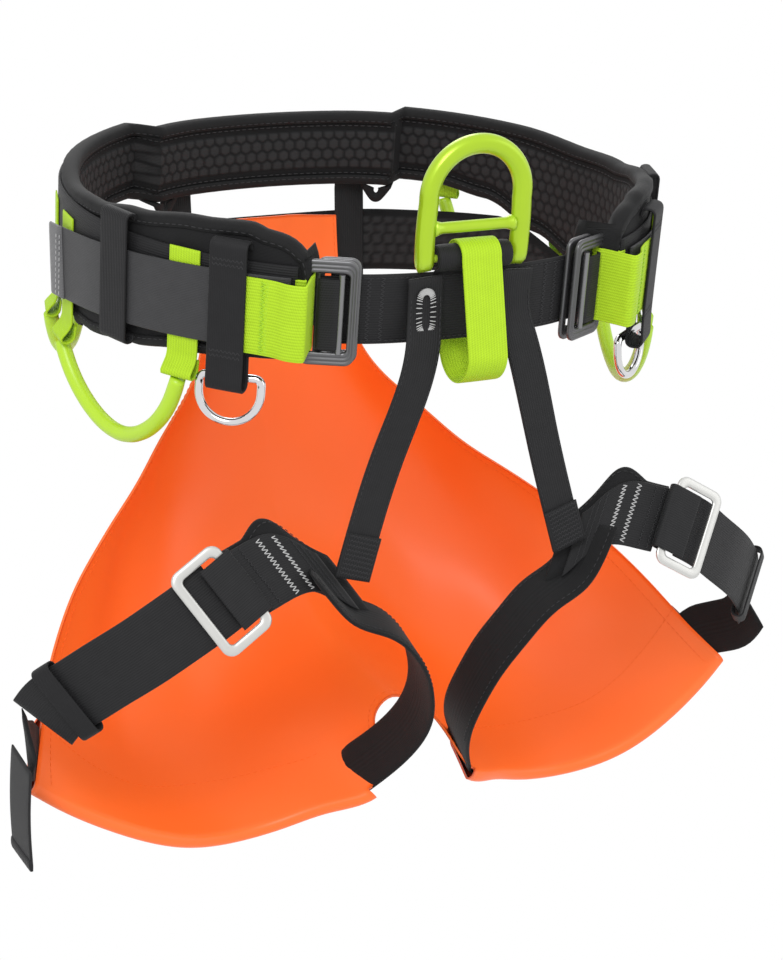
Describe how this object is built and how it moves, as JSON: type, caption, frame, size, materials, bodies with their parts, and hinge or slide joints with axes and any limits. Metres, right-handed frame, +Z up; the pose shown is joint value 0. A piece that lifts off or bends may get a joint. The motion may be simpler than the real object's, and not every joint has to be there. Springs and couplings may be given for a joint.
{
  "type": "canyoning sit harness",
  "caption": "Sit harness with padded waist belt, leg loops, front ring, belay loop, gear loops, side rings and a wrap-round protective seat.",
  "frame": {"origin": "centre of the waist opening inside the padded belt, level with the rim of the worn belt's sides", "axes": "+Z up as worn, the wearer faces -Y, +X is the wearer's left; nodes named left are on the wearer's left"},
  "size_m": [0.5285, 0.3355, 0.4579],
  "materials": {
    "padding_foam": "closed-cell foam, hidden by the covers",
    "belt_fabric": "black woven nylon outside, black honeycomb mesh inside",
    "edge_binding": "folded ribbed edge tape",
    "black_webbing": "woven polyester webbing with grey-white bar tacks",
    "green_webbing": "lime-green woven webbing",
    "green_tube": "lime-green flexible tube, slightly glossy",
    "green_aluminium": "lime-green anodised, satin",
    "steel": "polished",
    "dark_alloy": "dark grey, satin, raised rim lines",
    "satin_aluminium": "light satin",
    "leg_padding": "black padded band",
    "orange_sheet": "orange coated fabric, satin, dark red inside the folds"
  },
  "bodies": {
    "waist_belt": {"belt_pad": "padding_foam", "belt_cover": "belt_fabric", "belt_lining": "belt_fabric", "belt_binding": "edge_binding", "load_webbing": "black_webbing", "front_webbing": "black_webbing", "tie_in_sleeve": "black_webbing", "haul_tabs": "black_webbing", "side_bands": "belt_fabric", "strap_tail_left": "black_webbing", "strap_tail_right": "black_webbing", "side_tab_left": "green_webbing", "side_tab_right": "green_webbing", "rear_keeper_left": "black_webbing", "rear_keeper_right": "black_webbing", "front_keeper_left": "black_webbing", "front_keeper_right": "black_webbing", "gear_tabs_left": "green_webbing", "gear_tabs_right": "green_webbing", "suspender_anchor_left": "black_webbing", "suspender_anchor_right": "black_webbing"},
    "ring": {"tie_in_ring": "green_aluminium", "ring_pin": "steel"},
    "belay": {"belay_loop": "green_webbing"},
    "risers": {"riser_left": "black_webbing", "riser_right": "black_webbing"},
    "suspenders": {"suspender_left": "black_webbing", "suspender_right": "black_webbing", "back_band": "belt_fabric"},
    "seat": {"protective_seat": "orange_sheet", "leg_tail_left": "black_webbing", "seat_hem_left": "orange_sheet", "seat_hem_right": "orange_sheet", "leg_band_left": "leg_padding", "leg_band_right": "leg_padding", "leg_front_webbing_left": "black_webbing", "leg_front_webbing_right": "black_webbing", "leg_strap_left": "black_webbing", "leg_strap_right": "black_webbing"},
    "leg_tail_hanging": {"leg_tail_right": "black_webbing"},
    "side_ring_body_left": {"side_ring_left": "steel"},
    "gear_front_left": {"gear_loop_front_left": "green_tube"},
    "gear_rear_left": {"gear_loop_rear_left": "green_tube"},
    "waist_buckle_left": {"buckle_front_frame_left": "dark_alloy", "buckle_rear_frame_left": "dark_alloy", "buckle_bar_left": "steel", "buckle_wrap_left": "black_webbing"},
    "leg_buckle_body_left": {"leg_buckle_left": "satin_aluminium", "leg_buckle_wrap_left": "black_webbing"},
    "leg_keeper_body_left": {"leg_keeper_left": "black_webbing"},
    "side_ring_body_right": {"side_ring_right": "steel"},
    "gear_front_right": {"gear_loop_front_right": "green_tube"},
    "gear_rear_right": {"gear_loop_rear_right": "green_tube"},
    "waist_buckle_right": {"buckle_front_frame_right": "dark_alloy", "buckle_rear_frame_right": "dark_alloy", "buckle_bar_right": "steel", "buckle_wrap_right": "black_webbing"},
    "leg_buckle_body_right": {"leg_buckle_right": "satin_aluminium", "leg_buckle_wrap_right": "black_webbing"},
    "leg_keeper_body_right": {"leg_keeper_right": "black_webbing"}
  },
  "joints": [
    {"name": "ring_turn", "type": "hinge", "parent": "waist_belt", "child": "ring", "pos_m": [0, -0.15036, -0.02904], "axis": [1, 0, 0], "range_deg": [-85, 90]},
    {"name": "belay_swing", "type": "hinge", "parent": "waist_belt", "child": "belay", "pos_m": [0, -0.15036, -0.02904], "axis": [1, 0, 0], "range_deg": [-5, 10]},
    {"name": "side_ring_left_swing", "type": "hinge", "parent": "waist_belt", "child": "side_ring_body_left", "pos_m": [0.13609, -0.1099, -0.0958], "axis": [-0.8164, -0.5712, -0.0854], "range_deg": [-12, 95]},
    {"name": "side_ring_right_swing", "type": "hinge", "parent": "waist_belt", "child": "side_ring_body_right", "pos_m": [-0.13609, -0.1099, -0.0958], "axis": [-0.8164, 0.5712, 0.0854], "range_deg": [-12, 95]},
    {"name": "gear_loop_front_left_lift", "type": "hinge", "parent": "waist_belt", "child": "gear_front_left", "pos_m": [0.17728, -0.03323, -0.09647], "axis": [-0.2903, -0.9564, -0.0313], "range_deg": [0, 75]},
    {"name": "gear_loop_front_right_lift", "type": "hinge", "parent": "waist_belt", "child": "gear_front_right", "pos_m": [-0.17728, -0.03323, -0.09647], "axis": [-0.2903, 0.9564, 0.0313], "range_deg": [0, 75]},
    {"name": "gear_loop_rear_left_lift", "type": "hinge", "parent": "waist_belt", "child": "gear_rear_left", "pos_m": [0.15798, 0.10051, -0.06587], "axis": [0.5747, -0.7231, -0.3832], "range_deg": [0, 75]},
    {"name": "gear_loop_rear_right_lift", "type": "hinge", "parent": "waist_belt", "child": "gear_rear_right", "pos_m": [-0.15798, 0.10051, -0.06587], "axis": [0.5747, 0.7231, 0.3832], "range_deg": [0, 75]},
    {"name": "waist_buckle_left_turn", "type": "hinge", "parent": "waist_belt", "child": "waist_buckle_left", "pos_m": [0.09952, -0.13794, -0.05752], "axis": [0, -0.1478, 0.989], "range_deg": [0, 16]},
    {"name": "waist_buckle_right_turn", "type": "hinge", "parent": "waist_belt", "child": "waist_buckle_right", "pos_m": [-0.09952, -0.13794, -0.05752], "axis": [0, 0.1478, -0.989], "range_deg": [0, 16]},
    {"name": "riser_swing", "type": "hinge", "parent": "waist_belt", "child": "risers", "pos_m": [0, -0.15065, -0.0393], "axis": [1, 0, 0], "range_deg": [-5, 2]},
    {"name": "seat_level", "type": "hinge", "parent": "risers", "child": "seat", "pos_m": [0, -0.141, -0.219], "axis": [1, 0, 0], "range_deg": [-2, 5]},
    {"name": "suspender_swing", "type": "hinge", "parent": "waist_belt", "child": "suspenders", "pos_m": [0, 0.1538, -0.0335], "axis": [1, 0, 0], "range_deg": [-17.5, 7]},
    {"name": "leg_buckle_left_lift", "type": "hinge", "parent": "seat", "child": "leg_buckle_body_left", "pos_m": [0.1423, -0.14411, -0.20823], "axis": [-0.5125, -0.3015, -0.804], "range_deg": [0, 22]},
    {"name": "leg_buckle_right_lift", "type": "hinge", "parent": "seat", "child": "leg_buckle_body_right", "pos_m": [-0.1423, -0.14411, -0.20823], "axis": [-0.5125, 0.3015, 0.804], "range_deg": [0, 22]},
    {"name": "leg_keeper_left_slide", "type": "slide", "parent": "seat", "child": "leg_keeper_body_left", "axis": [0.5448, 0.5911, -0.5948], "range_m": [-0.006, 0.002]},
    {"name": "leg_keeper_right_slide", "type": "slide", "parent": "seat", "child": "leg_keeper_body_right", "axis": [-0.5448, 0.5911, -0.5948], "range_m": [-0.006, 0.002]},
    {"name": "leg_tail_right_swing", "type": "hinge", "parent": "seat", "child": "leg_tail_hanging", "pos_m": [-0.2649, -0.0858, -0.32], "axis": [0, 1, 0], "range_deg": [-3, 40]}
  ],
  "couplings": [
    {"joint": "seat_level", "follows": "riser_swing", "ratio": -1},
    {"joint": "suspender_swing", "follows": "riser_swing", "ratio": 3.47}
  ]
}
